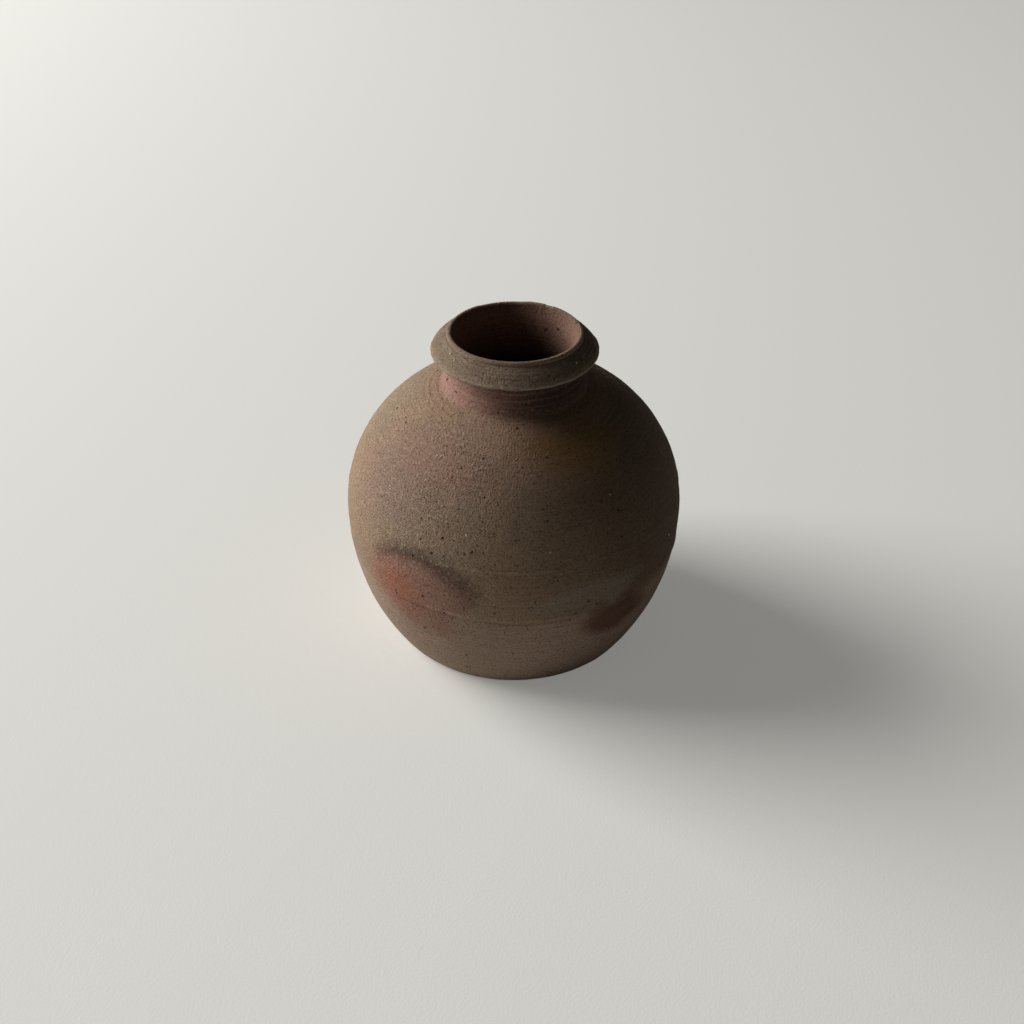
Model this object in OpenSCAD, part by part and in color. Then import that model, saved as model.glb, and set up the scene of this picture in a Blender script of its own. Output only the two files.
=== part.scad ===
// A small round onggi jar of unglazed, wood-fired stoneware.
// The potter lutes it up from a beaten slab and strips of clay, and each of those is a piece here.
// The origin is the middle of the ring that the jar stands on, +Z is up, and the front faces -Y.

/* [Body] */
// Greatest width of the jar
belly_d = 120; // [114:0.5:128]
// Height of the greatest width above the table
belly_z = 49; // [46:0.5:53]
// Width of the foot at the table
foot_d = 89; // [80:0.5:98]
// Radius of the arc that closes the shoulder in from the belly
shoulder_r = 51; // [48:0.5:55]
// Thickness of the wall
wall_t = 4.5; // [3.5:0.1:5.5]
// Thickness of the floor
floor_t = 6; // [5:0.1:8]

/* [Foot] */
// Width of the flat ring that the jar stands on
rest_w = 8; // [5:0.5:14]
// Depth of the hollow inside that ring
hollow_h = 0.8; // [0.4:0.1:1.5]
// Width of the sloping edge of the hollow
hollow_slope = 3; // [1:0.5:6]
// Bevel that the potter's thumb leaves on the foot's edge
foot_bevel = 0.8; // [0.4:0.1:1.5]
// Radius of the coil pressed into the corner between floor and wall
corner_r = 7; // [4:0.5:10]

/* [Seams] */
// Height of the slab's outer edge, where the first strip stands on it
slab_edge_z = 2.2; // [1.8:0.1:4]
// Outside height of the seam between the foot strip and the belly strip
low_seam_z = 40; // [30:0.5:44]
// Outside height of the seam between the belly strip and the shoulder strip
high_seam_z = 59.5; // [56:0.5:66]
// How far each strip laps down behind the edge of the one below it
lap_h = 5; // [2:0.5:8]
// Depth of the scored line that each of those seams leaves outside
score_h = 0.3; // [0.15:0.05:0.6]

/* [Neck] */
// Width of the neck at its root on the shoulder
neck_root_d = 49; // [48:0.5:54]
// Width of the neck under the collar, and of the lip that stands up through it
neck_top_d = 46.2; // [45.2:0.2:48]
// Height of the neck, from the top of its root to the collar
neck_h = 8.8; // [7:0.2:12]
// Hollow radius where the neck sweeps out into the shoulder
neck_sweep_r = 2.5; // [1.5:0.5:6]
// Width of the throat
throat_d = 40; // [36:0.5:41]
// Radius that rounds the throat into the hollow of the body
throat_round_r = 3; // [2:0.5:5]
// Finger rings round the neck
ring_n = 3; // [0:1:3]
// Height from one finger ring to the next
ring_pitch = 2.4; // [1.8:0.1:2.6]
// Height of the first finger ring above the neck's root
ring_z = 1.9; // [1.6:0.1:2.4]
// Radius of a finger ring's hollow
ring_r = 1.5; // [1:0.1:2]
// Depth of a finger ring
ring_h = 0.45; // [0.2:0.05:0.7]

/* [Collar and lip] */
// Width over the collar's edge
collar_d = 57; // [53:0.2:62]
// Height of the collar, from its underside at the neck to its top
collar_h = 7.2; // [6.6:0.1:9]
// Height of the collar's edge above its underside at the neck
collar_edge_z = 2.2; // [1.6:0.1:3]
// Radius that rounds the collar's edge
collar_edge_r = 0.8; // [0.4:0.1:1.1]
// Radius of the collar's slope, seen from the side
collar_slope_r = 14; // [10:0.5:40]
// Thickness of the lip
lip_t = 2; // [1.6:0.1:2.4]
// Height that the lip stands above the collar
lip_rise = 1.4; // [1:0.1:2]

/* [Feldspar] */
// Width of a white feldspar grain
grain_d = 1.1; // [0.8:0.1:1.6]
// Thickness of a grain, through the wall's surface
grain_h = 0.9; // [0.6:0.1:1.4]
// Height that a grain stands out of the surface
grain_rise = 0.2; // [0.1:0.05:0.4]

/* [Hidden] */

$fn = 180;
grain_sides = 7;
slope_steps = 12;
edge_steps = 10;
lip_steps = 16;

// Grains on the body: angle round from the front, positive to the right, and height above the table
body_grains = [[-37, 82], [-20, 75.5], [-16, 70.5], [12, 66], [38, 78], [-52, 30], [64, 52], [118, 72],
               [-112, 64], [158, 45], [-164, 80], [-95, 34], [100, 28], [176, 66]];
// Grains on the collar: angle round from the front, and share of the slope's width from lip to edge
collar_grains = [[-59, 0.25], [-51, 0.42], [51, 0.5], [128, 0.6], [-140, 0.35]];

belly_r = belly_d / 2;
foot_r = foot_d / 2;
neck_root_r = neck_root_d / 2;
neck_top_r = neck_top_d / 2;
throat_r = throat_d / 2;
collar_r = collar_d / 2;
grain_mid = grain_h / 2 - grain_rise;

// The lower wall is one arc, upright at the belly, that ends at the foot
foot_in = belly_r - foot_r;
lower_r = (belly_z * belly_z + foot_in * foot_in) / (2 * foot_in);
lower_x = belly_r - lower_r;
shoulder_x = belly_r - shoulder_r;

// Radius of the wall at height z, at a depth under its outside
function wall_at(z, depth) = z < belly_z
    ? lower_x + sqrt(pow(lower_r - depth, 2) - pow(belly_z - z, 2))
    : shoulder_x + sqrt(pow(shoulder_r - depth, 2) - pow(z - belly_z, 2));

// Angle at which the wall at height z faces up
function wall_tilt(z) =
    let (mid_x = z < belly_z ? lower_x : shoulder_x) atan2(z - belly_z, wall_at(z, 0) - mid_x);

// Point on the wall at height z, as [radius, height]
function wall_pt(z, depth) = [wall_at(z, depth), z];

// Middle of the arc of radius r that joins an upright at radius x to the shoulder's arc, from above
function sweep_mid(x, r, depth) =
    [x + r, belly_z + sqrt(pow(shoulder_r - depth + r, 2) - pow(x + r - shoulder_x, 2))];

// Where that arc touches the shoulder's arc
function sweep_foot(x, r, depth) = let (
    mid = sweep_mid(x, r, depth),
    k = (shoulder_r - depth) / (shoulder_r - depth + r))
    [shoulder_x + k * (mid.x - shoulder_x), belly_z + k * (mid.y - belly_z)];

// Points along an arc, ends included
function arc_pts(mid, r, from, to, steps) =
    [for (i = [0:steps]) let (a = from + (to - from) * i / steps) mid + r * [cos(a), sin(a)]];

// Middle of the arc of radius r from point a to point b, bulging to the right of that way
function bulge_mid(a, b, r) = let (
    way = b - a,
    half = norm(way) / 2,
    left = [way.y, -way.x] / norm(way))
    (a + b) / 2 - left * sqrt(r * r - half * half);

neck_foot_z = sweep_mid(neck_root_r, neck_sweep_r, 0).y;
collar_z = neck_foot_z + neck_h;
collar_top_z = collar_z + collar_h;
lip_r = lip_t / 2;
lip_z = collar_top_z + lip_rise - lip_r;
jar_h = lip_z + lip_r;

// The collar's edge is a small round, and its slope an arc from the lip down to it
edge_mid = [collar_r - collar_edge_r, collar_z + collar_edge_z];
slope_top = [neck_top_r, collar_top_z];
slope_low = edge_mid + collar_edge_r * [cos(45), sin(45)];
slope_mid = bulge_mid(slope_low, slope_top, collar_slope_r);

// A solid turned from a half section drawn in [radius, height]
module turned() {
    rotate_extrude() children();
}

// Half section of all that lies inside the wall's surface at a depth, belly and shoulder only
module body_section(depth) {
    intersection() {
        translate([lower_x, belly_z]) circle(lower_r - depth);
        translate([0, -belly_z]) square([belly_r, 2 * belly_z]);
    }
    intersection() {
        translate([shoulder_x, belly_z]) circle(shoulder_r - depth);
        translate([0, belly_z]) square([belly_r, shoulder_r]);
    }
}

// Corner between an upright at radius x and the shoulder's arc, swept round with radius r
module sweep_section(x, r, depth) {
    mid = sweep_mid(x, r, depth);
    low = sweep_foot(x, r, depth);
    difference() {
        polygon([[x - r, mid.y], mid, low, [x - r, low.y - r]]);
        translate(mid) circle(r);
    }
}

// Half section above the straight line through point a on the outside and point b on the inside
module above(a, b) {
    k = (a.y - b.y) / (a.x - b.x);
    polygon([[0, a.y - k * a.x], [2 * belly_r, a.y + k * (2 * belly_r - a.x)],
             [2 * belly_r, 4 * jar_h], [0, 4 * jar_h]]);
}

// Half section of the hollow that the jar holds things in, down through the floor
module hollow_section() {
    body_section(wall_t);
    sweep_section(throat_r, throat_round_r, wall_t);
    translate([0, belly_z]) square([throat_r, collar_z - belly_z]);
}

// Half section of the wall from the foot up to the neck's sweep
module wall_section() {
    difference() {
        body_section(0);
        hollow_section();
    }
}

// Seams, each a straight line through the wall from [0] outside to [1] inside
slab_seam = [wall_pt(slab_edge_z, 0), wall_pt(floor_t, wall_t)];
low_seam = [wall_pt(low_seam_z, 0), wall_pt(low_seam_z - lap_h, wall_t)];
high_seam = [wall_pt(high_seam_z, 0), wall_pt(high_seam_z - lap_h, wall_t)];
neck_seam = [sweep_foot(neck_root_r, neck_sweep_r, 0), sweep_foot(throat_r, throat_round_r, wall_t)];

// Half section between two seams
module strip_section(low, high) {
    intersection() {
        wall_section();
        difference() {
            above(low[0], low[1]);
            above(high[0], high[1]);
        }
    }
}

// Line scored round the wall at a seam, cut with a corner of the tool
module score_section(at) {
    translate(at) rotate(45) square(score_h * sqrt(2), center = true);
}

// One grain at a point on the surface, which faces up by an angle of tilt
module grain(turn, at, tilt) {
    rotate([0, 0, turn - 90]) translate([at.x, 0, at.y]) rotate([0, 90 - tilt, 0])
        translate([0, 0, -grain_mid]) cylinder(h = grain_h, d = grain_d, $fn = grain_sides, center = true);
}

// Every grain, partly sunk in the clay
module grains() {
    for (g = body_grains) {
        grain(g[0], wall_pt(g[1], 0), wall_tilt(g[1]));
    }
    for (g = collar_grains) {
        x = slope_top.x + g[1] * (slope_low.x - slope_top.x) - slope_mid.x;
        y = sqrt(collar_slope_r * collar_slope_r - x * x);
        grain(g[0], slope_mid + [x, y], atan2(y, x));
    }
}

// The beaten disc under the jar, hollowed a little so that it stands on a ring
module base_slab() {
    rest_r = foot_r - foot_bevel - rest_w;
    color([0.30, 0.21, 0.17]) turned() difference() {
        intersection() {
            body_section(0);
            square([belly_r, floor_t]);
        }
        above(slab_seam[0], slab_seam[1]);
        polygon([[0, 0], [rest_r, 0], [rest_r - hollow_slope, hollow_h], [0, hollow_h]]);
        polygon([[foot_r - foot_bevel, 0], [belly_r, 0], [belly_r, foot_bevel], wall_pt(foot_bevel, 0)]);
    }
}

// The first strip of wall, which stands on the slab's bevelled edge
module foot_wall() {
    color([0.36, 0.26, 0.21]) difference() {
        turned() difference() {
            strip_section(slab_seam, low_seam);
            score_section(low_seam[0]);
        }
        grains();
    }
}

// The coil that seals the corner between the floor and the wall
module corner_coil() {
    mid_z = floor_t + corner_r;
    in_r = lower_r - wall_t;
    mid = [lower_x + sqrt(pow(in_r - corner_r, 2) - pow(belly_z - mid_z, 2)), mid_z];
    touch = [lower_x, belly_z] + in_r / (in_r - corner_r) * (mid - [lower_x, belly_z]);
    color([0.30, 0.20, 0.17]) turned() difference() {
        intersection() {
            body_section(wall_t);
            polygon([[mid.x, floor_t], [belly_r, floor_t], touch, mid]);
        }
        translate(mid) circle(corner_r);
    }
}

// The strip round the belly, between the two ridges that show outside
module belly_wall() {
    color([0.40, 0.33, 0.26]) difference() {
        turned() difference() {
            strip_section(low_seam, high_seam);
            score_section(low_seam[0]);
            score_section(high_seam[0]);
        }
        grains();
    }
}

// The strip that closes in over the belly, up to the neck
module shoulder_wall() {
    color([0.42, 0.34, 0.26]) difference() {
        turned() difference() {
            strip_section(high_seam, neck_seam);
            score_section(high_seam[0]);
        }
        grains();
    }
}

// The coil that makes the throat, the finger rings and the lip
module neck_wall() {
    sweep = sweep_mid(neck_root_r, neck_sweep_r, 0);
    color([0.42, 0.26, 0.23]) turned() difference() {
        intersection() {
            polygon(concat(
                [[0, belly_z], neck_seam[0], sweep, [neck_root_r, neck_foot_z], [neck_top_r, collar_z]],
                arc_pts([neck_top_r - lip_r, lip_z], lip_r, 0, 180, lip_steps),
                [[throat_r, collar_z], [0, collar_z]]));
            above(neck_seam[0], neck_seam[1]);
        }
        translate(sweep) circle(neck_sweep_r);
        hollow_section();
        for (i = [0:1:ring_n - 1]) {
            z = neck_foot_z + ring_z + i * ring_pitch;
            x = neck_root_r + (neck_top_r - neck_root_r) * (z - neck_foot_z) / neck_h;
            translate([x + ring_r - ring_h, z]) circle(ring_r);
        }
    }
}

// The coil laid round the top of the neck, pressed to a slope with a rounded edge
module rim_collar() {
    low_way = slope_low - slope_mid;
    top_way = slope_top - slope_mid;
    color([0.34, 0.27, 0.22]) difference() {
        turned() polygon(concat(
            [[neck_top_r, collar_z]],
            arc_pts(edge_mid, collar_edge_r, -75, 45, edge_steps),
            arc_pts(slope_mid, collar_slope_r, atan2(low_way.y, low_way.x), atan2(top_way.y, top_way.x),
                    slope_steps)));
        grains();
    }
}

// White stones of the clay that show at the surface
module feldspar_grains() {
    color([0.80, 0.74, 0.64]) grains();
}

base_slab();
foot_wall();
corner_coil();
belly_wall();
shoulder_wall();
neck_wall();
rim_collar();
feldspar_grains();
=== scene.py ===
import math
import random

import bpy
from mathutils import Matrix, Vector, noise


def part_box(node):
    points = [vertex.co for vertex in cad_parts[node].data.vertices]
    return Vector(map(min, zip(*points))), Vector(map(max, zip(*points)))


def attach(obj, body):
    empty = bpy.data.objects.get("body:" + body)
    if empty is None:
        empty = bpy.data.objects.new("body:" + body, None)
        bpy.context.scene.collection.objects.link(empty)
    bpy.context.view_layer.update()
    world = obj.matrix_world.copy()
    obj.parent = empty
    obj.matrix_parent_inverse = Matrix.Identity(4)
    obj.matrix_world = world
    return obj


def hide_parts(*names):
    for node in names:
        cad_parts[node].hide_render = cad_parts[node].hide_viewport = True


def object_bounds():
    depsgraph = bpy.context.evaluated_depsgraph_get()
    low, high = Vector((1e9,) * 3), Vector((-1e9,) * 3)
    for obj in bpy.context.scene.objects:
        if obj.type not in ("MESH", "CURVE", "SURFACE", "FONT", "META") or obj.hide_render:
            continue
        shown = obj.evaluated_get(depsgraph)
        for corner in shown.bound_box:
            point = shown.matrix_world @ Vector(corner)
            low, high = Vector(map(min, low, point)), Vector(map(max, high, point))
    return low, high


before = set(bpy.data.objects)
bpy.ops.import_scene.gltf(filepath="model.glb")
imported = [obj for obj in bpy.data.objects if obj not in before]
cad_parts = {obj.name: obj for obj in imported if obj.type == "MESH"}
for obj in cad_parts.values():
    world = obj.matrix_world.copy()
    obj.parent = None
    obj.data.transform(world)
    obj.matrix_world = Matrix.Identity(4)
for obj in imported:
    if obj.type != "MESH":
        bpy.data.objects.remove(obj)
cadBox = [list(corner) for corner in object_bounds()]
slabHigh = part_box("base_slab")[1]
collarLow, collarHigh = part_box("rim_collar")
print("frame loaded:", len(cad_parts), "nodes")

mm = 0.001
weldDistance = 0.004 * mm


def frameMm(value, digits=2):
    # a length of the frame in mm, rounded because the frame's round walls are made of facets
    return round(value / mm, digits)


def onlyObjectMode():
    if bpy.context.object and bpy.context.object.mode != "OBJECT":
        bpy.ops.object.mode_set(mode="OBJECT")
    bpy.ops.object.select_all(action="DESELECT")


def turnPiece(name, outline, steps):
    # an outline of (radius, height) points in mm, extruded point by point and spun round the jar's axis
    onlyObjectMode()
    bpy.ops.mesh.primitive_plane_add(size=mm, location=(0, 0, 0))
    piece = bpy.context.object
    piece.name = name
    bpy.ops.object.mode_set(mode="EDIT")
    bpy.ops.mesh.select_all(action="SELECT")
    bpy.ops.mesh.merge(type="CENTER")
    bpy.ops.transform.translate(value=(outline[0][0] * mm, 0, outline[0][1] * mm))
    for here, there in zip(outline, outline[1:]):
        step = ((there[0] - here[0]) * mm, 0, (there[1] - here[1]) * mm)
        bpy.ops.mesh.extrude_vertices_move(TRANSFORM_OT_translate={"value": step})
    bpy.ops.mesh.select_all(action="SELECT")
    bpy.ops.mesh.spin(steps=steps, angle=math.tau, center=(0, 0, 0), axis=(0, 0, 1))
    bpy.ops.mesh.select_all(action="SELECT")
    bpy.ops.mesh.remove_doubles(threshold=weldDistance)
    bpy.ops.mesh.normals_make_consistent(inside=False)
    bpy.ops.object.mode_set(mode="OBJECT")
    bpy.ops.object.shade_smooth()
    return piece


def arc(midR, midZ, radius, start, end, steps):
    angles = [math.radians(start + (end - start) * i / steps) for i in range(steps + 1)]
    return [(midR + radius * math.cos(a), midZ + radius * math.sin(a)) for a in angles]


def fade(low, high, value):
    t = min(1, max(0, (value - low) / (high - low)))
    return t * t * (3 - 2 * t)


def degreesFrom(azimuth, centre):
    return (azimuth - centre + 180) % 360 - 180


def around(azimuth, centre, width):
    # 1 near the centre azimuth and 0 past the width, in degrees round from the front
    return 1 - fade(width * 0.6, width, abs(degreesFrom(azimuth, centre)))


def hump(distance, width):
    return math.exp(-((distance / width) ** 2))


def ringPlace(vertex):
    # place in mm, distance from the axis, and azimuth in degrees, from the front and positive to the right
    place = vertex.co / mm
    return place, math.hypot(place.x, place.y), math.degrees(math.atan2(place.x, -place.y))


def moveVertex(vertex, r, outward, rise):
    vertex.co.x *= 1 + outward / r
    vertex.co.y *= 1 + outward / r
    vertex.co.z += rise * mm


# camera, at the photo's distance, tilt and lens

view = {
    "place": (-0.6, -388.3, 317.1), "tilt": 35.26, "roll": 0.38, "focalPixels": 1300, "imagePixels": 1024,
    "sensorWidth": 36, "nearest": 0.01,
}


def setCamera():
    data = bpy.data.cameras.new("photoCamera")
    data.sensor_width = view["sensorWidth"]
    data.lens = view["focalPixels"] / view["imagePixels"] * data.sensor_width
    data.clip_start = view["nearest"]
    camera = bpy.data.objects.new("photoCamera", data)
    bpy.context.scene.collection.objects.link(camera)
    tilt = Matrix.Rotation(math.radians(90 - view["tilt"]), 4, "X")
    roll = Matrix.Rotation(math.radians(view["roll"]), 4, "Z")
    camera.matrix_world = Matrix.Translation(Vector(view["place"]) * mm) @ (tilt @ roll)
    bpy.context.scene.camera = camera


setCamera()
print("camera set")

# the jar's wall: underside, foot, belly, shoulder, neck, lip, throat and hollow in one skin, in mm

jar = {
    "bellyR": frameMm(cadBox[1][0]), "bellyZ": 49.0, "shoulderArc": 51.0, "wall": 4.5,
    "footR": 44.5, "bevel": 0.8, "bevelIn": 0.15, "ringOut": 4.0, "ringInR": 35.7, "ringRoundIn": 1.2,
    "ringRoundZ": 0.25, "hollowR": 32.7, "hollowH": 0.8, "floor": frameMm(slabHigh[2]), "cornerR": 7.0,
    "neckRootR": 24.5, "neckTopR": 23.1, "sweepR": 2.5, "throatR": 20.0, "throatRound": 3.0,
    "collarZ": frameMm(collarLow[2]), "lipR": 1.0, "topZ": frameMm(cadBox[1][2]),
    "rowStep": 0.62, "neckRowStep": 0.42, "around": 290,
}
# rows of faces along each round or level stretch that rowStep doesn't divide
wallRows = {
    "hollow": 6, "sweep": 7, "lip": 10, "mouth": 12, "throat": 9, "throatRound": 6,
    "innerShoulder": 34, "innerBelly": 20, "corner": 6, "floor": 8,
}
jar["lipZ"] = jar["topZ"] - jar["lipR"]
jar["footIn"] = jar["bellyR"] - jar["footR"]
jar["lowerArc"] = (jar["bellyZ"] ** 2 + jar["footIn"] ** 2) / (2 * jar["footIn"])
jar["shoulderMidR"] = jar["bellyR"] - jar["shoulderArc"]
jar["lowerMidR"] = jar["bellyR"] - jar["lowerArc"]


def wallRadius(z):
    away = (z - jar["bellyZ"]) ** 2
    if z < jar["bellyZ"]:
        return jar["lowerMidR"] + math.sqrt(jar["lowerArc"] ** 2 - away)
    return jar["shoulderMidR"] + math.sqrt(max(0, jar["shoulderArc"] ** 2 - away))


def sweepMid(radius, sweep, depth):
    # middle of the round between the neck, at that radius, and the shoulder, at that depth in its wall
    reach = jar["shoulderArc"] - depth + sweep
    midR = radius + sweep
    return midR, jar["bellyZ"] + math.sqrt(reach ** 2 - (midR - jar["shoulderMidR"]) ** 2)


sweepMidR, sweepMidZ = sweepMid(jar["neckRootR"], jar["sweepR"], 0)


def wallOutline():
    step, midR = jar["rowStep"], jar["shoulderMidR"]
    hollowRows = wallRows["hollow"]
    points = [(jar["hollowR"] * k / hollowRows, jar["hollowH"]) for k in range(hollowRows + 1)]
    points += [(jar["ringInR"] - jar["ringRoundIn"], jar["ringRoundZ"]), (jar["ringInR"], 0)]
    points += [(jar["footR"] - jar["ringOut"], 0), (jar["footR"] - jar["bevel"], 0)]
    points += [(wallRadius(jar["bevel"]) - jar["bevelIn"], jar["bevel"])]
    z = jar["bevel"] + step
    while z < jar["bellyZ"]:
        points.append((wallRadius(z), z))
        z += step
    lean = math.degrees(math.atan2(sweepMidZ - jar["bellyZ"], sweepMidR - midR))
    shoulderRows = int(math.radians(lean) * jar["shoulderArc"] / step)
    points += arc(midR, jar["bellyZ"], jar["shoulderArc"], 0, lean, shoulderRows)
    points += arc(sweepMidR, sweepMidZ, jar["sweepR"], lean + 180, 180, wallRows["sweep"])[1:]
    neckRows = int((jar["lipZ"] - sweepMidZ) / jar["neckRowStep"])
    for i in range(1, neckRows + 1):
        z = sweepMidZ + (jar["lipZ"] - sweepMidZ) * i / neckRows
        drawnIn = min(1, (z - sweepMidZ) / (jar["collarZ"] - sweepMidZ))
        points.append((jar["neckRootR"] + (jar["neckTopR"] - jar["neckRootR"]) * drawnIn, z))
    points += arc(jar["neckTopR"] - jar["lipR"], jar["lipZ"], jar["lipR"], 0, 180, wallRows["lip"])[1:]
    return points + innerOutline()


def innerOutline():
    # from the lip's inner side down the throat, under the shoulder and over the corner coil to the floor
    wall, lipIn = jar["wall"], jar["neckTopR"] - 2 * jar["lipR"]
    throatMidR, throatMidZ = sweepMid(jar["throatR"], jar["throatRound"], wall)
    points = []
    for i in range(1, wallRows["mouth"] + 1):
        t = i / wallRows["mouth"]
        r = lipIn + (jar["throatR"] - lipIn) * math.sin(t * math.pi / 2)
        points.append((r, jar["lipZ"] - t * (jar["lipZ"] - jar["collarZ"])))
    for i in range(1, wallRows["throat"] + 1):
        z = jar["collarZ"] + (throatMidZ - jar["collarZ"]) * i / wallRows["throat"]
        points.append((jar["throatR"], z))
    lean = math.degrees(math.atan2(throatMidZ - jar["bellyZ"], throatMidR - jar["shoulderMidR"]))
    points += arc(throatMidR, throatMidZ, jar["throatRound"], 180, 180 + lean, wallRows["throatRound"])[1:]
    innerArc = jar["shoulderArc"] - wall
    points += arc(jar["shoulderMidR"], jar["bellyZ"], innerArc, lean, 0, wallRows["innerShoulder"])[1:]
    innerArc = jar["lowerArc"] - wall
    coilZ = jar["floor"] + jar["cornerR"]
    coilR = jar["lowerMidR"] + math.sqrt((innerArc - jar["cornerR"]) ** 2 - (jar["bellyZ"] - coilZ) ** 2)
    touch = math.degrees(math.atan2(coilZ - jar["bellyZ"], coilR - jar["lowerMidR"]))
    points += arc(jar["lowerMidR"], jar["bellyZ"], innerArc, 0, touch, wallRows["innerBelly"])[1:]
    points += arc(coilR, coilZ, jar["cornerR"], touch, -90, wallRows["corner"])[1:]
    points += [(coilR * k / wallRows["floor"], jar["floor"]) for k in range(wallRows["floor"] - 1, -1, -1)]
    return points


# relief of the outside, in mm: heights, scales per mm and steps between ripples
relief = {
    "sunk": 0.22, "least": 0.02, "lump": 0.18, "lumpScale": 0.032, "swell": 0.1, "swellScale": 0.13,
    "ripple": 0.033, "shoulderRipple": 0.0605, "shoulderZ": (70, 92), "rippleStep": 2.3, "rippleSlope": 0.55,
    "rippleRun": 0.5, "fineShare": 0.5, "fineStep": 1.27, "fineStart": 1.1,
    "patchLeast": 0.55, "patchMore": 0.9, "patchScale": 0.05,
    "seams": [(40.0, 0.32), (59.5, 0.2)], "seamWave": 0.5, "seamWander": 0.35, "seamScale": 0.2,
    "seamPatch": 0.045, "seamPlane": 3.1, "seamShown": (-0.15, 0.3),
    "seamFront": (-14, 32), "frontMore": 0.75,
    "ridge": 0.55, "groove": 1.1, "grooveBelow": 1.3, "grooveWide": 0.6, "pitLong": 0.7,
}
# azimuth, height, radius and depth of each pit and nick
pits = [
    (-10, 51, 1.0, 0.6), (-8, 49.5, 0.6, 0.5), (-34, 16.5, 0.9, 0.6), (-38, 21, 0.7, 0.5),
    (-31, 18, 0.5, 0.4), (17, 7.5, 1.6, 0.5), (24, 6.5, 1.2, 0.4), (-52, 60, 0.6, 0.4),
    (12, 71, 0.6, 0.4), (-24, 84, 0.5, 0.35), (95, 44, 0.8, 0.5), (150, 70, 0.7, 0.5),
    (-120, 30, 0.9, 0.5), (-160, 58, 0.7, 0.4), (60, 24, 0.8, 0.4),
]
# finger rings on the neck, and the dark hollow close under the collar
neckRings = {
    "sunk": 0.28, "height": 0.32, "cut": 0.2, "step": 2.4, "startZ": 100.6, "fromZ": (99.6, 100.8),
    "toZ": (106.8, 107.6), "wave": 0.35, "waveAt": 30, "wander": 0.25, "wanderScale": 0.1,
    "rough": 0.08, "roughScale": 0.3, "underCollar": 0.35, "underZ": (106.3, 107.4),
}
lip = {
    "depth": 3, "sunk": 0.12, "waver": 0.12, "waverScale": 1.6, "rough": 0.07, "roughScale": 0.22,
    "dips": [(-168, 26, 0.3), (148, 5, 0.25)],
}
inside = {"ripple": 0.16, "step": 3.4, "run": 0.9, "waver": 0.18, "waverScale": 0.07, "fromZ": 9}
# which part of the skin a vertex is on, and how far the shoulder's relief leans towards upright
skin = {
    "axisR": 0.5, "neckR": 21.6, "neckBelow": 0.6, "collarLap": 0.4, "behindCollar": 0.05, "highest": 99,
    "outerDepth": 1.5, "innerDepth": 2, "leanZ": (60, 96), "lean": 0.75,
}


def seamMove(place, azimuth, z):
    move = 0.0
    for height, proud in relief["seams"]:
        level = height + relief["seamWave"] * math.sin(math.radians(azimuth * 2 + 40))
        level += relief["seamWander"] * noise.noise(place * relief["seamScale"])
        patch = noise.noise(Vector((azimuth * relief["seamPatch"], height, relief["seamPlane"])))
        patch += relief["frontMore"] * around(azimuth, *relief["seamFront"])
        shown = fade(*relief["seamShown"], patch)
        groove = relief["groove"] * hump(z - level + relief["grooveBelow"], relief["grooveWide"])
        move += proud * shown * (hump(z - level, relief["ridge"]) - groove)
    return move


def outsideMove(place, azimuth, r, z):
    # how far the outside lies off its plain turned form, always inwards: lumps, ripples, seams and pits
    move = relief["lump"] * noise.noise(place * relief["lumpScale"]) - relief["sunk"]
    move += relief["swell"] * noise.noise(place * relief["swellScale"])
    along = z - relief["rippleSlope"] * r
    strength = relief["ripple"] + relief["shoulderRipple"] * fade(*relief["shoulderZ"], z)
    strength *= relief["patchLeast"] + relief["patchMore"] * abs(noise.noise(place * relief["patchScale"]))
    run = relief["rippleRun"] * math.sin(math.radians(azimuth))
    move += strength * math.sin(math.tau * (along + run) / relief["rippleStep"])
    fine = math.sin(math.tau * along / relief["fineStep"] + relief["fineStart"])
    move += strength * relief["fineShare"] * fine + seamMove(place, azimuth, z)
    for pitAzimuth, height, size, depth in pits:
        away = math.radians(degreesFrom(azimuth, pitAzimuth)) * r
        move -= depth * math.exp(-(away * away * relief["pitLong"] + (z - height) ** 2) / (size * size))
    return min(-relief["least"], move)


def neckMove(place, azimuth, z):
    wander = neckRings["wave"] * math.sin(math.radians(azimuth + neckRings["waveAt"]))
    wander += neckRings["wander"] * noise.noise(place * neckRings["wanderScale"])
    ring = math.sin(math.tau * (z - neckRings["startZ"] + wander) / neckRings["step"])
    held = fade(*neckRings["fromZ"], z) * (1 - fade(*neckRings["toZ"], z))
    move = held * (neckRings["height"] * ring - neckRings["cut"]) - neckRings["sunk"]
    move += neckRings["rough"] * noise.noise(place * neckRings["roughScale"])
    return move - neckRings["underCollar"] * fade(*neckRings["underZ"], z)


def insideMove(place, azimuth, z):
    run = inside["run"] * math.sin(math.radians(azimuth))
    ripple = inside["ripple"] * math.sin(math.tau * (z + run) / inside["step"])
    return ripple + inside["waver"] * noise.noise(place * inside["waverScale"])


def lipRise(azimuth, z):
    a = math.radians(azimuth)
    rimPlace = Vector((math.sin(a), math.cos(a), 0)) * lip["waverScale"]
    rise = lip["waver"] * noise.noise(rimPlace) - lip["sunk"]
    for centre, width, dip in lip["dips"]:
        rise -= dip * around(azimuth, centre, width)
    return rise * fade(jar["lipZ"] - lip["depth"], jar["lipZ"], z)


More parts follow.
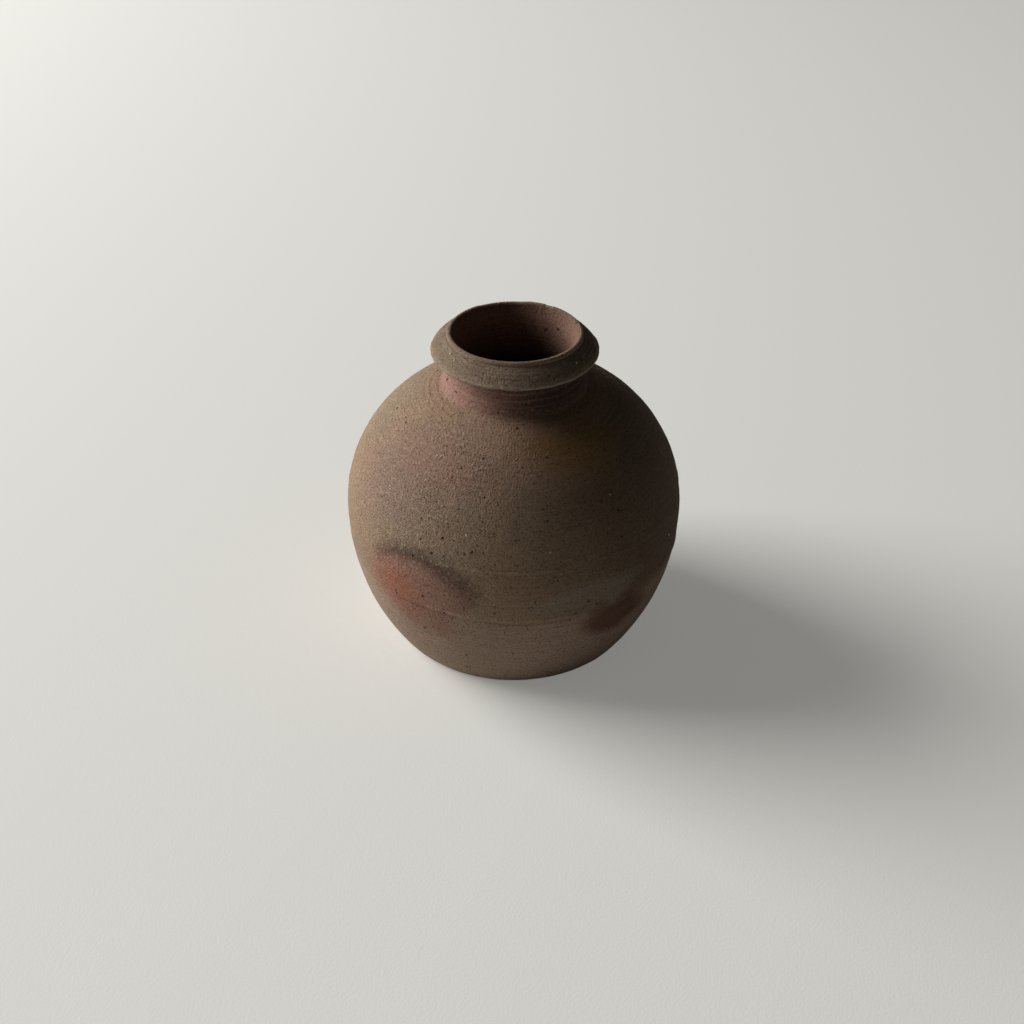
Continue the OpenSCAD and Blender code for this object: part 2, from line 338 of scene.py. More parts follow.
def shapeWall(piece):
    neckFoot = sweepMidZ - skin["neckBelow"]
    for vertex in piece.data.vertices:
        place, r, azimuth = ringPlace(vertex)
        z = place.z
        if r < skin["axisR"]:
            continue
        plainR = wallRadius(min(z, skin["highest"]))
        move, rise = 0.0, 0.0
        if z > jar["lipZ"] - lip["depth"]:
            rise = lipRise(azimuth, z)
            move = lip["rough"] * noise.noise(place * lip["roughScale"]) - lip["rough"]
        elif r > skin["neckR"] and z > neckFoot:
            belowCollar = z < jar["collarZ"] + skin["collarLap"]
            move = neckMove(place, azimuth, z) if belowCollar else -skin["behindCollar"]
        elif z > jar["bevel"] * 0.5 and r > plainR - skin["outerDepth"]:
            move = outsideMove(place, azimuth, r, z)
        elif z > inside["fromZ"] and r < plainR - skin["innerDepth"]:
            move = insideMove(place, azimuth, z)
        lean = fade(*skin["leanZ"], z) * skin["lean"] if z < neckFoot else 0
        moveVertex(vertex, r, move * (1 - lean * 0.5), rise + move * lean)


jarWall = turnPiece("jarWall", wallOutline(), jar["around"])
shapeWall(jarWall)
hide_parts("base_slab", "foot_wall", "corner_coil", "belly_wall", "shoulder_wall", "neck_wall")
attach(jarWall, "root")
print("jar wall turned:", len(jarWall.data.polygons), "faces")

# the collar, a sloping coil round the lip, in mm

collar = {
    "inR": 23.02, "lowZ": jar["collarZ"], "topR": 23.1, "topZ": frameMm(collarHigh[2]), "topIn": 0.1,
    "edgeR": frameMm(collarHigh[0], 1), "edgeUp": 2.2, "edgeRound": 0.8, "edgeFrom": -75, "edgeTo": 45,
    "underR": 0.8, "underZ": 0.22, "underRows": 5, "slopeArc": 14.0, "backZ": 112,
    "edgeRows": 12, "slopeRows": 30, "around": 420,
}
collar["edgeZ"] = collar["lowZ"] + collar["edgeUp"]
# relief of the collar, and the split where its clay parts from the lip's
collarRelief = {
    "outFrom": 0.3, "outTo": 1.6, "edgeWide": 2.2, "sunk": 0.14, "waver": 0.16, "waverScale": 0.11,
    "edgeRough": 0.12, "edgeScale": 0.5, "line": 0.05, "lineStep": 1.05, "lineRun": 0.01,
    "grit": 0.09, "gritScale": 0.7, "lowered": 0.1, "chip": 0.3, "chipScale": 0.28, "chipFrom": 0.25,
    "splitAt": -33, "splitWidth": 13, "splitDepth": 0.55, "splitR": 23.75, "splitWave": 0.35, "splitTurns": 7,
    "splitRun": 0.02, "splitWide": 0.28, "splitLip": 0.16, "splitLipOut": 0.7, "splitLipWide": 0.4,
}


def collarOutline():
    edgeMid = Vector((collar["edgeR"] - collar["edgeRound"], collar["edgeZ"]))
    turn = math.radians(collar["edgeTo"])
    low = edgeMid + collar["edgeRound"] * Vector((math.cos(turn), math.sin(turn)))
    top = Vector((collar["topR"], collar["topZ"]))
    way = top - low
    back = Vector((-way.y, way.x)).normalized()
    mid = (low + top) / 2 + back * math.sqrt(collar["slopeArc"] ** 2 - (way.length / 2) ** 2)
    start = math.degrees(math.atan2(low.y - mid.y, low.x - mid.x))
    end = math.degrees(math.atan2(top.y - mid.y, top.x - mid.x))
    inR, lowZ = collar["inR"], collar["lowZ"]
    points = [(inR, lowZ)]
    for i in range(1, collar["underRows"] + 1):
        points.append((inR + collar["underR"] * i, lowZ + collar["underZ"] * i))
    edge = (collar["edgeFrom"], collar["edgeTo"], collar["edgeRows"])
    points += arc(edgeMid.x, edgeMid.y, collar["edgeRound"], *edge)
    points += arc(mid.x, mid.y, collar["slopeArc"], start, end, collar["slopeRows"])[1:]
    return points + [(inR, collar["topZ"] - collar["topIn"]), (inR, collar["backZ"]), (inR, lowZ)]


def splitRise(azimuth, r):
    look = collarRelief
    along = azimuth - look["splitAt"]
    shown = around(azimuth, look["splitAt"], look["splitWidth"])
    centre = look["splitR"] + look["splitWave"] * math.sin(math.radians(along * look["splitTurns"]))
    centre += look["splitRun"] * along
    cut = look["splitDepth"] * hump(r - centre, look["splitWide"])
    raised = look["splitLip"] * hump(r - centre - look["splitLipOut"], look["splitLipWide"])
    return shown * (raised - cut)


def shapeCollar(piece):
    look = collarRelief
    for vertex in piece.data.vertices:
        place, r, azimuth = ringPlace(vertex)
        out = fade(collar["inR"] + look["outFrom"], collar["inR"] + look["outTo"], r)
        edge = fade(collar["edgeR"] - look["edgeWide"], collar["edgeR"], r)
        move = out * (look["waver"] * noise.noise(place * look["waverScale"]) - look["sunk"])
        move += edge * look["edgeRough"] * noise.noise(place * look["edgeScale"])
        line = look["line"] * math.sin(math.tau * r / look["lineStep"] + azimuth * look["lineRun"])
        rise = out * (line + look["grit"] * noise.noise(place * look["gritScale"]) - look["lowered"])
        if place.z > collar["backZ"]:
            rise += splitRise(azimuth, r)
        rise += edge * look["chip"] * min(0, noise.noise(place * look["chipScale"]) - look["chipFrom"])
        moveVertex(vertex, r, move, rise)


rimCollar = turnPiece("rimCollar", collarOutline(), collar["around"])
shapeCollar(rimCollar)
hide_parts("rim_collar")
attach(rimCollar, "root")
print("collar turned:", len(rimCollar.data.polygons), "faces")

# feldspar, one broken stone for each grain of the frame: azimuth and height, or share of the collar's slope

stones = {
    "width": 0.46, "sunk": 0.32, "seed": 11, "bulge": (0.72, 1.1), "long": (0.7, 1.15), "thick": (0.6, 1),
    "turn": (0, 3), "collarEdgeIn": 0.2, "collarDrop": 0.6, "collarProud": 0.15,
    "body": [(-37, 82), (-20, 75.5), (-16, 70.5), (12, 66), (38, 78), (-52, 30), (64, 52), (118, 72),
             (-112, 64), (158, 45), (-164, 80), (-95, 34), (100, 28), (176, 66)],
    "collar": [(-59, 0.25), (-51, 0.42), (51, 0.5), (128, 0.6), (-140, 0.35)],
}


def addStone(azimuth, r, z, rng):
    onlyObjectMode()
    a = math.radians(azimuth)
    place = Vector((r * math.sin(a), -r * math.cos(a), z)) * mm
    bpy.ops.mesh.primitive_ico_sphere_add(subdivisions=2, radius=stones["width"] * mm, location=place)
    stone = bpy.context.object
    for vertex in stone.data.vertices:
        vertex.co *= rng.uniform(*stones["bulge"])
    stone.scale = [rng.uniform(*stones[side]) for side in ("long", "thick", "thick")]
    stone.rotation_euler = (rng.uniform(*stones["turn"]), rng.uniform(*stones["turn"]), a)
    bpy.ops.object.transform_apply(location=True, rotation=True, scale=True)
    return stone


def makeStones():
    rng = random.Random(stones["seed"])
    made = [addStone(azimuth, wallRadius(z) - stones["sunk"], z, rng) for azimuth, z in stones["body"]]
    wide = collar["edgeR"] - stones["collarEdgeIn"] - collar["topR"]
    high = collar["topZ"] - collar["edgeZ"] - stones["collarDrop"]
    for azimuth, share in stones["collar"]:
        z = collar["topZ"] - share * high + stones["collarProud"]
        made.append(addStone(azimuth, collar["topR"] + share * wide, z, rng))
    onlyObjectMode()
    for stone in made:
        stone.select_set(True)
    bpy.context.view_layer.objects.active = made[0]
    bpy.ops.object.join()
    joined = bpy.context.object
    joined.name = "feldsparStones"
    bpy.ops.object.transform_apply(location=True, rotation=True, scale=True)
    return joined


feldspar = makeStones()
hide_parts("feldspar_grains")
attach(feldspar, "root")
print("feldspar set in the clay")

# node helpers

number, vector = "NodeSocketFloat", "NodeSocketVector"


def srgb(*channels):
    # a colour as a picture shows it, from 0 to 255, turned into the linear values that a shader takes
    shares = [c / 255 for c in channels]
    return tuple(s / 12.92 if s <= 0.04 else ((s + 0.055) / 1.055) ** 2.4 for s in shares) + (1.0,)


def put(tree, kind, settings=None, **values):
    node = tree.nodes.new(kind)
    for key, value in (settings or {}).items():
        setattr(node, key, value)
    for key, value in values.items():
        socket = node.inputs[int(key[1:])] if key[0] == "i" and key[1:].isdigit() else node.inputs[key]
        if isinstance(value, bpy.types.NodeSocket):
            tree.links.new(value, socket)
        else:
            socket.default_value = value
    return node


def maths(tree, operation, a, b=0.0):
    return put(tree, "ShaderNodeMath", {"operation": operation}, i0=a, i1=b).outputs[0]


def plus(tree, a, b):
    return maths(tree, "ADD", a, b)


def minus(tree, a, b):
    return maths(tree, "SUBTRACT", a, b)


def times(tree, a, b):
    return maths(tree, "MULTIPLY", a, b)


def vectorMaths(tree, operation, a, b=(0, 0, 0)):
    return put(tree, "ShaderNodeVectorMath", {"operation": operation}, i0=a, i1=b).outputs[0]


def scaled(tree, value, factor):
    return put(tree, "ShaderNodeVectorMath", {"operation": "SCALE"}, i0=value, Scale=factor).outputs[0]


def lengthOf(tree, value):
    return put(tree, "ShaderNodeVectorMath", {"operation": "LENGTH"}, i0=value).outputs["Value"]


def fromAxis(tree, x, y):
    return lengthOf(tree, put(tree, "ShaderNodeCombineXYZ", None, i0=x, i1=y).outputs[0])


def grade(tree, value, low, high, start=0.0, end=1.0):
    settings = {"interpolation_type": "SMOOTHSTEP"}
    return put(tree, "ShaderNodeMapRange", settings, i0=value, i1=low, i2=high, i3=start, i4=end).outputs[0]


def blend(tree, amount, first, second, mode="MIX"):
    settings = {"data_type": "RGBA", "blend_type": mode}
    return put(tree, "ShaderNodeMix", settings, i0=amount, i6=first, i7=second).outputs[2]


def noiseOf(tree, point, scale, detail=3.0, rough=0.55):
    node = put(tree, "ShaderNodeTexNoise", None, Vector=point, Scale=scale, Detail=detail, Roughness=rough)
    return node.outputs[0]


def bumpOf(tree, height, distance, strength=1.0, **under):
    node = put(tree, "ShaderNodeBump", None, Strength=strength, Distance=distance, Height=height, **under)
    return node.outputs[0]


def newGroup(name, inputs, outputs):
    tree = bpy.data.node_groups.new(name, "ShaderNodeTree")
    for socketName, kind in inputs:
        tree.interface.new_socket(socketName, in_out="INPUT", socket_type=kind)
    for socketName, kind in outputs:
        tree.interface.new_socket(socketName, in_out="OUTPUT", socket_type=kind)
    return tree, tree.nodes.new("NodeGroupInput").outputs, tree.nodes.new("NodeGroupOutput").inputs


def putGroup(tree, group, **values):
    node = tree.nodes.new("ShaderNodeGroup")
    node.node_tree = group
    for key, value in values.items():
        if isinstance(value, bpy.types.NodeSocket):
            tree.links.new(value, node.inputs[key])
        else:
            node.inputs[key].default_value = value
    return node.outputs


# surface groups, which take points in mm

flameEdge = {"scale": 0.09, "detail": 3.0}
sandGrains = {
    "fineRough": 0.6, "coarseScale": 0.42, "coarseRough": 0.5, "detail": 2.0, "cellScale": 0.8,
    "cellEdge": (0.1, 0.62), "fineShare": 0.8, "cellShare": 0.25, "coarseShare": 0.5,
    "darkFrom": (0.47, 0.33), "paleFrom": (0.53, 0.7),
}
speckShape = {"least": 0.45, "raggedScale": 1.6, "ragged": 0.12, "detail": 2.0, "core": 0.55}
wheelLines = {
    "slope": 0.8, "driftScale": 0.03, "drift": 1.5, "detail": 3.0, "rough": 0.7,
    "patchScale": 0.11, "patchDetail": 2.0, "patch": (0.35, 0.65),
}


def makeFlamePatch():
    # a soft, ragged patch that flame or ash left, as a mask round a centre
    sockets = [("Point", vector), ("Centre", vector), ("Size", vector), ("Soft", number), ("Ragged", number)]
    tree, given, out = newGroup("flamePatch", sockets, [("Mask", number)])
    edge = {"Scale": flameEdge["scale"], "Detail": flameEdge["detail"]}
    wander = put(tree, "ShaderNodeTexNoise", None, Vector=given["Point"], **edge).outputs[1]
    wander = scaled(tree, vectorMaths(tree, "SUBTRACT", wander, (0.5, 0.5, 0.5)), given["Ragged"])
    moved = vectorMaths(tree, "ADD", vectorMaths(tree, "SUBTRACT", given["Point"], given["Centre"]), wander)
    away = lengthOf(tree, vectorMaths(tree, "DIVIDE", moved, given["Size"]))
    low = minus(tree, 1.0, given["Soft"])
    high = plus(tree, 1.0, given["Soft"])
    tree.links.new(grade(tree, away, low, high, 1.0, 0.0), out["Mask"])
    return tree


def makeSandSkin():
    # sand and grit in dry clay: height for the bump, dark flecks and pale flecks
    outputs = [("Height", number), ("Dark", number), ("Pale", number)]
    tree, given, out = newGroup("sandSkin", [("Point", vector), ("Grain", number)], outputs)
    look = sandGrains
    scale = maths(tree, "DIVIDE", 1.0, given["Grain"])
    fine = noiseOf(tree, given["Point"], scale, look["detail"], look["fineRough"])
    coarseScale = times(tree, scale, look["coarseScale"])
    coarse = noiseOf(tree, given["Point"], coarseScale, look["detail"], look["coarseRough"])
    cellScale = times(tree, scale, look["cellScale"])
    cells = put(tree, "ShaderNodeTexVoronoi", None, Vector=given["Point"], Scale=cellScale)
    bumps = grade(tree, cells.outputs["Distance"], *look["cellEdge"], 1.0, 0.0)
    height = plus(tree, times(tree, fine, look["fineShare"]), times(tree, bumps, look["cellShare"]))
    tree.links.new(plus(tree, height, times(tree, coarse, look["coarseShare"])), out["Height"])
    tree.links.new(grade(tree, fine, *look["darkFrom"]), out["Dark"])
    tree.links.new(grade(tree, coarse, *look["paleFrom"]), out["Pale"])
    return tree


def makeSpecks():
    # small round specks, one in a share of the cells, as a mask: pits where grit came out, or stones
    sockets = [("Point", vector), ("Cell", number), ("Share", number), ("Wide", number)]
    tree, given, out = newGroup("specks", sockets, [("Mask", number)])
    look = speckShape
    scale = maths(tree, "DIVIDE", 1.0, given["Cell"])
    cells = put(tree, "ShaderNodeTexVoronoi", None, Vector=given["Point"], Scale=scale).outputs
    pick = put(tree, "ShaderNodeSeparateColor", None, i0=cells["Color"]).outputs
    chosen = maths(tree, "LESS_THAN", pick[0], given["Share"])
    size = times(tree, given["Wide"], grade(tree, pick[1], 0.0, 1.0, look["least"], 1.0))
    ragged = times(tree, noiseOf(tree, given["Point"], look["raggedScale"], look["detail"]), look["ragged"])
    away = plus(tree, cells["Distance"], ragged)
    spot = grade(tree, away, times(tree, size, look["core"]), size, 1.0, 0.0)
    tree.links.new(times(tree, spot, chosen), out["Mask"])
    return tree


def makeTurningLines():
    # fine lines of the wheel, level round the jar and close together, as a value about 0.5
    tree, given, out = newGroup("turningLines", [("Point", vector), ("Pitch", number)], [("Lines", number)])
    look = wheelLines
    parts = put(tree, "ShaderNodeSeparateXYZ", None, i0=given["Point"]).outputs
    along = minus(tree, parts[2], times(tree, fromAxis(tree, parts[0], parts[1]), look["slope"]))
    drift = times(tree, noiseOf(tree, given["Point"], look["driftScale"], 1.0), look["drift"])
    along = maths(tree, "DIVIDE", plus(tree, along, drift), given["Pitch"])
    values = {"W": along, "Scale": 1.0, "Detail": look["detail"], "Roughness": look["rough"]}
    line = put(tree, "ShaderNodeTexNoise", {"noise_dimensions": "1D"}, **values).outputs[0]
    patches = noiseOf(tree, given["Point"], look["patchScale"], look["patchDetail"])
    patchy = grade(tree, patches, *look["patch"])
    tree.links.new(plus(tree, times(tree, minus(tree, line, 0.5), patchy), 0.5), out["Lines"])
    return tree


flamePatch = makeFlamePatch()
sandSkin = makeSandSkin()
specks = makeSpecks()
turningLines = makeTurningLines()
print("surface groups made")

# what all the clays share: sand, pits, stones and wheel lines, with relief heights in metres

clay = {
    "dark": srgb(58, 43, 34), "pale": srgb(200, 180, 154), "smokeAndPaintedShade": srgb(88, 70, 54), "roughness": 0.9,
    "rougher": 0.06, "smoother": 0.08, "sandRange": (0.3, 1.1), "darkSand": 0.78, "gloss": 0.25,
    "linePitch": 0.9, "lineRange": (0.4, 0.6),
    "lineDark": (0.89, 0.88, 0.87, 1), "linePale": (1.07, 1.07, 1.07, 1),
    "pitCell": 3.4, "pitShare": 0.4, "pitWide": 0.27, "pitDark": 0.85, "pitDepth": 0.0005,
    "stoneCell": 2.6, "stoneShare": 0.2, "stoneWide": 0.26, "stoneRise": 0.6,
    "stoneApart": (41.0, 17.0, 29.0), "stonePale": 2.2, "stoneLeast": 0.04, "broad": (0.38, 0.62),
}


def startMaterial(name):
    material = bpy.data.materials.new(name)
    material.use_nodes = True
    tree = material.node_tree
    shader = tree.nodes["Principled BSDF"]
    shader.inputs["Specular IOR Level"].default_value = clay["gloss"]
    where = tree.nodes.new("ShaderNodeTexCoord").outputs["Object"]
    return material, tree, shader, scaled(tree, where, 1 / mm)


def finishClay(tree, shader, point, colour, look, paleness):
    # sand, flecks and wheel lines over a colour, the same way on every clay piece
    sand = putGroup(tree, sandSkin, Point=point, Grain=look["grain"])
    lines = putGroup(tree, turningLines, Point=point, Pitch=clay["linePitch"])["Lines"]
    pitLook = {"Cell": clay["pitCell"], "Share": clay["pitShare"], "Wide": clay["pitWide"]}
    pit = putGroup(tree, specks, Point=point, **pitLook)["Mask"]
    moved = vectorMaths(tree, "ADD", point, clay["stoneApart"])
    stoneLook = {"Cell": clay["stoneCell"], "Share": clay["stoneShare"], "Wide": clay["stoneWide"]}
    stone = putGroup(tree, specks, Point=moved, **stoneLook)["Mask"]
    stoneShown = times(tree, stone, plus(tree, times(tree, paleness, clay["stonePale"]), clay["stoneLeast"]))
    colour = blend(tree, times(tree, sand["Dark"], clay["darkSand"]), colour, clay["dark"])
    colour = blend(tree, times(tree, sand["Pale"], paleness), colour, clay["pale"])
    colour = blend(tree, times(tree, pit, clay["pitDark"]), colour, clay["dark"])
    colour = blend(tree, stoneShown, colour, clay["pale"])
    tint = blend(tree, grade(tree, lines, *clay["lineRange"]), clay["lineDark"], clay["linePale"])
    tree.links.new(blend(tree, 1.0, colour, tint, "MULTIPLY"), shader.inputs["Base Color"])
    ends = (clay["roughness"] + clay["rougher"], clay["roughness"] - clay["smoother"])
    tree.links.new(grade(tree, sand["Height"], *clay["sandRange"], *ends), shader.inputs["Roughness"])
    bump = bumpOf(tree, lines, look["lineHeight"])
    bump = bumpOf(tree, sand["Height"], look["sandHeight"], Normal=bump)
    specksRelief = minus(tree, times(tree, stone, clay["stoneRise"]), pit)
    bump = bumpOf(tree, specksRelief, clay["pitDepth"], Normal=bump)
    tree.links.new(bump, shader.inputs["Normal"])


# the wall's colours, and where each starts and ends: Z is height, X is across, R is from the axis, in mm
wallClay = {
    "ash": srgb(156, 134, 110), "warmAsh": srgb(164, 136, 110), "broadScale": 0.03,
    "grain": 0.52, "sandHeight": 0.0004, "lineHeight": 0.00024,
    "shadeX": (4.0, 52.0), "shadeMost": 0.75, "shadeWander": 24.0,
    "foot": srgb(174, 148, 130), "footZ": (38.0, 47.0), "footMost": 0.75, "footWander": 6.0,
    "blush": srgb(158, 120, 100), "blushZ": (92.0, 97.5), "blushMost": 0.45,
    "neck": srgb(168, 127, 113), "neckZ": (96.6, 99.0), "underCollarShadeZ": (106.0, 108.2),
    "neckShadeX": (-14.0, 14.0), "neckShadeZ": (95.5, 99.5), "neckShadeMost": 0.9,
    "lip": srgb(142, 121, 101), "lipZ": (109.0, 111.0),
    "inside": srgb(134, 102, 86), "paintedInsideShade": srgb(52, 37, 30), "insideZ": (93.0, 112.0),
    "throatR": (21.25, 21.75), "throatZ": (90.0, 92.0), "hollowZ": (3.0, 5.0), "hollowTopZ": (97.0, 98.0),
    "paleX": (-30.0, 30.0), "paleSides": (0.34, 0.06), "paleZ": (36.0, 60.0), "paleLow": 0.25,
}
# short pale scratches along the two seams, in a band left of the middle, in front and behind
scratches = {
    "heights": (39.6, 58.6), "wanderScale": 0.12, "wander": 2.0, "wide": (0.25, 0.6), "detail": 2.0,
    "brokenScale": 0.5, "broken": (0.46, 0.6), "most": 0.55, "leftX": (-34.0, -24.0), "rightX": (4.0, -8.0),
}
# each flame mark: azimuth and height on the wall, half sizes in mm, softness, raggedness, colour, strength
flames = [
    ((-50, 78), (24, 20, 16), 0.6, 14, srgb(146, 118, 108), 0.5),
    ((-16, 88), (34, 18, 7), 0.6, 10, srgb(160, 122, 104), 0.55),
    ((31, 92), (17, 14, 8), 0.6, 10, srgb(142, 106, 54), 0.7),
    ((-33, 51), (22, 16, 11), 0.28, 8, srgb(84, 60, 50), 0.82),
    ((-34, 45.5), (19, 15, 11.5), 0.3, 7, srgb(166, 126, 110), 0.9),
    ((-41, 43), (12, 12, 10), 0.6, 9, srgb(168, 112, 88), 0.75),
    ((-40, 45), (5, 6, 5), 0.8, 7, srgb(174, 108, 80), 0.5),
    ((-31, 34), (12, 11, 7), 0.5, 9, srgb(158, 114, 96), 0.7),
    ((26, 47), (23, 14, 5), 0.5, 8, srgb(150, 136, 122), 0.5),
    ((37, 34), (13, 13, 7.5), 0.42, 9, srgb(92, 52, 41), 0.85),
    ((82, 62), (20, 20, 16), 0.6, 14, srgb(112, 84, 74), 0.5),
    ((150, 50), (32, 22, 17), 0.5, 16, srgb(128, 84, 66), 0.6),
    ((-120, 66), (26, 20, 14), 0.6, 14, srgb(112, 92, 76), 0.5),
    ((-165, 28), (24, 16, 10), 0.45, 12, srgb(120, 66, 48), 0.6),
]


def onWall(azimuth, z):
    a, r = math.radians(azimuth), wallRadius(z)
    return (r * math.sin(a), -r * math.cos(a), z)


def addFlames(tree, point, colour):
    for where, size, soft, ragged, tone, strength in flames:
        shape = {"Centre": onWall(*where), "Size": size, "Soft": soft, "Ragged": ragged}
        mask = putGroup(tree, flamePatch, Point=point, **shape)["Mask"]
        colour = blend(tree, times(tree, mask, strength), colour, tone)
    return colour


def addScratches(tree, point, x, z, colour):
    look = scratches
    for height in look["heights"]:
        wander = times(tree, noiseOf(tree, point, look["wanderScale"], look["detail"]), look["wander"])
        away = maths(tree, "ABSOLUTE", minus(tree, z, plus(tree, height, wander)))
        broken = grade(tree, noiseOf(tree, point, look["brokenScale"]), *look["broken"], 0.0, look["most"])
        front = times(tree, grade(tree, x, *look["leftX"]), grade(tree, x, *look["rightX"]))
        scratch = times(tree, grade(tree, away, *look["wide"], 1.0, 0.0), times(tree, broken, front))
        colour = blend(tree, scratch, colour, clay["pale"])
    return colour


def innerMask(tree, radius, z):
    # 1 on the inside of the hollow, which lies nearer the arcs' middles than half the wall's thickness
    rise = minus(tree, z, jar["bellyZ"])
    half = jar["wall"] / 2
    upper = fromAxis(tree, rise, minus(tree, radius, jar["shoulderMidR"]))
    lower = fromAxis(tree, rise, minus(tree, radius, jar["lowerMidR"]))
    inUpper = maths(tree, "LESS_THAN", upper, jar["shoulderArc"] - half)
    inLower = maths(tree, "LESS_THAN", lower, jar["lowerArc"] - half)
    above = maths(tree, "GREATER_THAN", rise, 0.0)
    both = plus(tree, times(tree, above, inUpper), times(tree, minus(tree, 1.0, above), inLower))
    return times(tree, both, grade(tree, z, *wallClay["hollowTopZ"], 1.0, 0.0))


def makeWallClay():
    material, tree, shader, point = startMaterial("woodFiredWall")
    look = wallClay
    x, y, z = put(tree, "ShaderNodeSeparateXYZ", None, i0=point).outputs
    broad = noiseOf(tree, point, look["broadScale"])
    colour = blend(tree, grade(tree, broad, *clay["broad"]), look["ash"], look["warmAsh"])
    # the wall's right side is darkened: partly smoke from the firing, partly painted shade on the side turned
    # from the light
    across = plus(tree, x, times(tree, broad, look["shadeWander"]))
    colour = blend(tree, grade(tree, across, *look["shadeX"], 0.0, look["shadeMost"]), colour, clay["smokeAndPaintedShade"])
    height = plus(tree, z, times(tree, broad, look["footWander"]))
    colour = blend(tree, grade(tree, height, *look["footZ"], look["footMost"], 0.0), colour, look["foot"])
    colour = addScratches(tree, point, x, z, addFlames(tree, point, colour))
    colour = blend(tree, grade(tree, z, *look["blushZ"], 0.0, look["blushMost"]), colour, look["blush"])
    colour = blend(tree, grade(tree, z, *look["neckZ"]), colour, look["neck"])
    # painted shade: the neck's right side, where the collar's shadow falls, darkened towards the dark clay
    # colour
    paintedNeckShade = grade(tree, x, *look["neckShadeX"], 0.0, look["neckShadeMost"])
    paintedNeckShade = times(tree, paintedNeckShade, grade(tree, z, *look["neckShadeZ"]))
    colour = blend(tree, paintedNeckShade, colour, clay["dark"])
    # painted shade: a dark band on the neck close under the collar's overhang
    colour = blend(tree, grade(tree, z, *look["underCollarShadeZ"]), colour, clay["dark"])
    colour = blend(tree, grade(tree, z, *look["lipZ"]), colour, look["lip"])
    radius = fromAxis(tree, x, y)
    throat = times(tree, grade(tree, radius, *look["throatR"], 1.0, 0.0), grade(tree, z, *look["throatZ"]))
    # the throat's own inside colour near the mouth, darkened downwards by painted shade
    throatColourAndShade = blend(tree, grade(tree, z, *look["insideZ"]), look["paintedInsideShade"], look["inside"])
    colour = blend(tree, throat, colour, throatColourAndShade)
    # painted shade: the hollow inside the body is made dark all over
    hollow = times(tree, grade(tree, z, *look["hollowZ"]), innerMask(tree, radius, z))
    colour = blend(tree, hollow, colour, look["paintedInsideShade"])
    paleness = grade(tree, x, *look["paleX"], *look["paleSides"])
    paleness = times(tree, paleness, grade(tree, z, *look["paleZ"], look["paleLow"], 1.0))
    finishClay(tree, shader, point, colour, look, times(tree, paleness, minus(tree, 1.0, throat)))
    return material


collarClay = {
    "ash": srgb(146, 126, 105), "darkAsh": srgb(132, 112, 92), "broadScale": 0.06,
    "shadeX": (2.0, 26.0), "shadeMost": 0.7, "underZ": (109.9, 109.2),
    "wornZ": (112.5, 110.2), "wornMost": 0.35,
    "grain": 0.5, "sandHeight": 0.00045, "lineHeight": 0.0002, "paleness": 0.2,
}


def makeCollarClay():
    material, tree, shader, point = startMaterial("sandyCollar")
    look = collarClay
    parts = put(tree, "ShaderNodeSeparateXYZ", None, i0=point).outputs
    x, z = parts[0], parts[2]
    broad = noiseOf(tree, point, look["broadScale"])
    colour = blend(tree, grade(tree, broad, *clay["broad"]), look["ash"], look["darkAsh"])
    # the collar's right side is darkened the same way: partly smoke from the firing, partly painted shade on
    # the side turned from the light
    colour = blend(tree, grade(tree, x, *look["shadeX"], 0.0, look["shadeMost"]), colour, clay["smokeAndPaintedShade"])
    colour = blend(tree, grade(tree, z, *look["wornZ"], 0.0, look["wornMost"]), colour, clay["pale"])
    # painted shade: the collar's underside darkened towards the dark clay colour
    colour = blend(tree, grade(tree, z, *look["underZ"]), colour, clay["dark"])
    finishClay(tree, shader, point, colour, look, look["paleness"])
    return material


feldsparFinish = {
    "white": srgb(226, 212, 190), "stained": srgb(178, 158, 132), "mottleScale": 1.6, "stain": (0.4, 0.62),
    "sheen": (0.3, 0.7), "roughness": (0.45, 0.7), "bump": 0.8, "bumpHeight": 0.0001,
}


def makeFeldspar():
    material, tree, shader, point = startMaterial("brokenFeldspar")
    look = feldsparFinish
    mottle = noiseOf(tree, point, look["mottleScale"])
    colour = blend(tree, grade(tree, mottle, *look["stain"]), look["white"], look["stained"])
    tree.links.new(colour, shader.inputs["Base Color"])
    tree.links.new(grade(tree, mottle, *look["sheen"], *look["roughness"]), shader.inputs["Roughness"])
    tree.links.new(bumpOf(tree, mottle, look["bumpHeight"], look["bump"]), shader.inputs["Normal"])
    return material


jarWall.data.materials.append(makeWallClay())
rimCollar.data.materials.append(makeCollarClay())
feldspar.data.materials.append(makeFeldspar())
print("clays mixed")

# floor, light and room, in metres

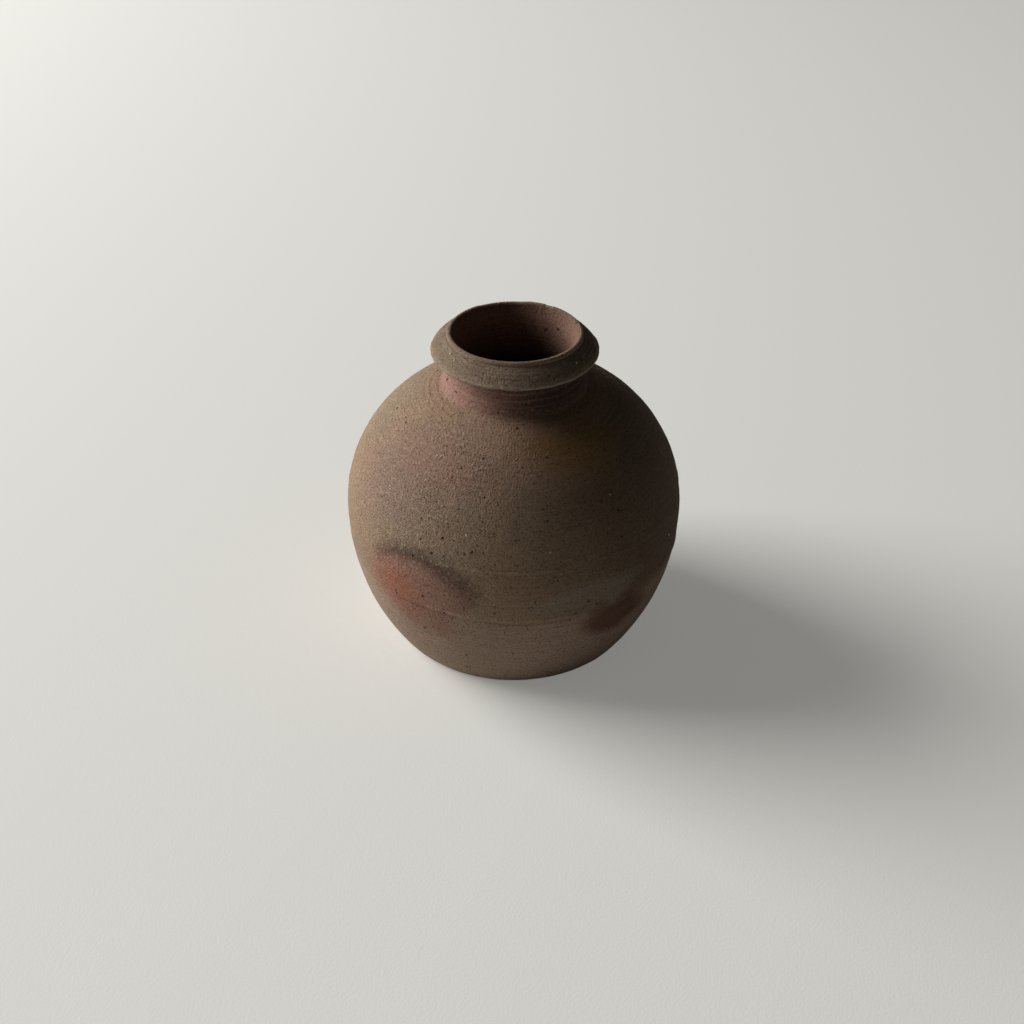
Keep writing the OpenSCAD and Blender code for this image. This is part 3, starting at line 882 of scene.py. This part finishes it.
studio = {
    "floorSize": 6.0, "floorColour": srgb(224, 223, 217), "floorRoughness": 0.9, "floorGlow": 0.27,
    "grainScale": 1.1, "grainDetail": 2.0, "grainBump": 0.25, "grainHeight": 0.0002,
    "key": (-2.5, 0.85, 1.3), "keySize": 2.0, "keyPower": 118.0, "aim": (0, 0, 0.06),
    "room": (1, 0.98, 0.95, 1), "fill": 0.045,
}


def makeFloorPaint():
    # the glow shows only to the camera and in reflections, so the floor keeps the jar's shadow
    material, tree, shader, point = startMaterial("paleFloor")
    grain = noiseOf(tree, point, studio["grainScale"], studio["grainDetail"])
    shader.inputs["Base Color"].default_value = studio["floorColour"]
    shader.inputs["Emission Color"].default_value = studio["floorColour"]
    shader.inputs["Roughness"].default_value = studio["floorRoughness"]
    tree.links.new(bumpOf(tree, grain, studio["grainHeight"], studio["grainBump"]), shader.inputs["Normal"])
    rays = tree.nodes.new("ShaderNodeLightPath").outputs
    mirrored = maths(tree, "MAXIMUM", rays["Is Glossy Ray"], rays["Is Transmission Ray"])
    seen = maths(tree, "MAXIMUM", rays["Is Camera Ray"], mirrored)
    tree.links.new(times(tree, seen, studio["floorGlow"]), shader.inputs["Emission Strength"])
    return material


def setStudio():
    onlyObjectMode()
    bpy.ops.mesh.primitive_plane_add(size=studio["floorSize"], location=(0, 0, 0))
    floor = bpy.context.object
    floor.name = "studioFloor"
    floor.data.materials.append(makeFloorPaint())
    lamp = bpy.data.lights.new("windowLight", "AREA")
    lamp.size = studio["keySize"]
    lamp.energy = studio["keyPower"]
    key = bpy.data.objects.new("windowLight", lamp)
    key.location = studio["key"]
    key.rotation_euler = (Vector(studio["aim"]) - key.location).to_track_quat("-Z", "Y").to_euler()
    bpy.context.scene.collection.objects.link(key)
    world = bpy.data.worlds.new("softRoom")
    world.use_nodes = True
    background = world.node_tree.nodes["Background"].inputs
    background[0].default_value = studio["room"]
    background[1].default_value = studio["fill"]
    bpy.context.scene.world = world
    bpy.context.scene.view_settings.view_transform = "Standard"


setStudio()
print("studio lit")
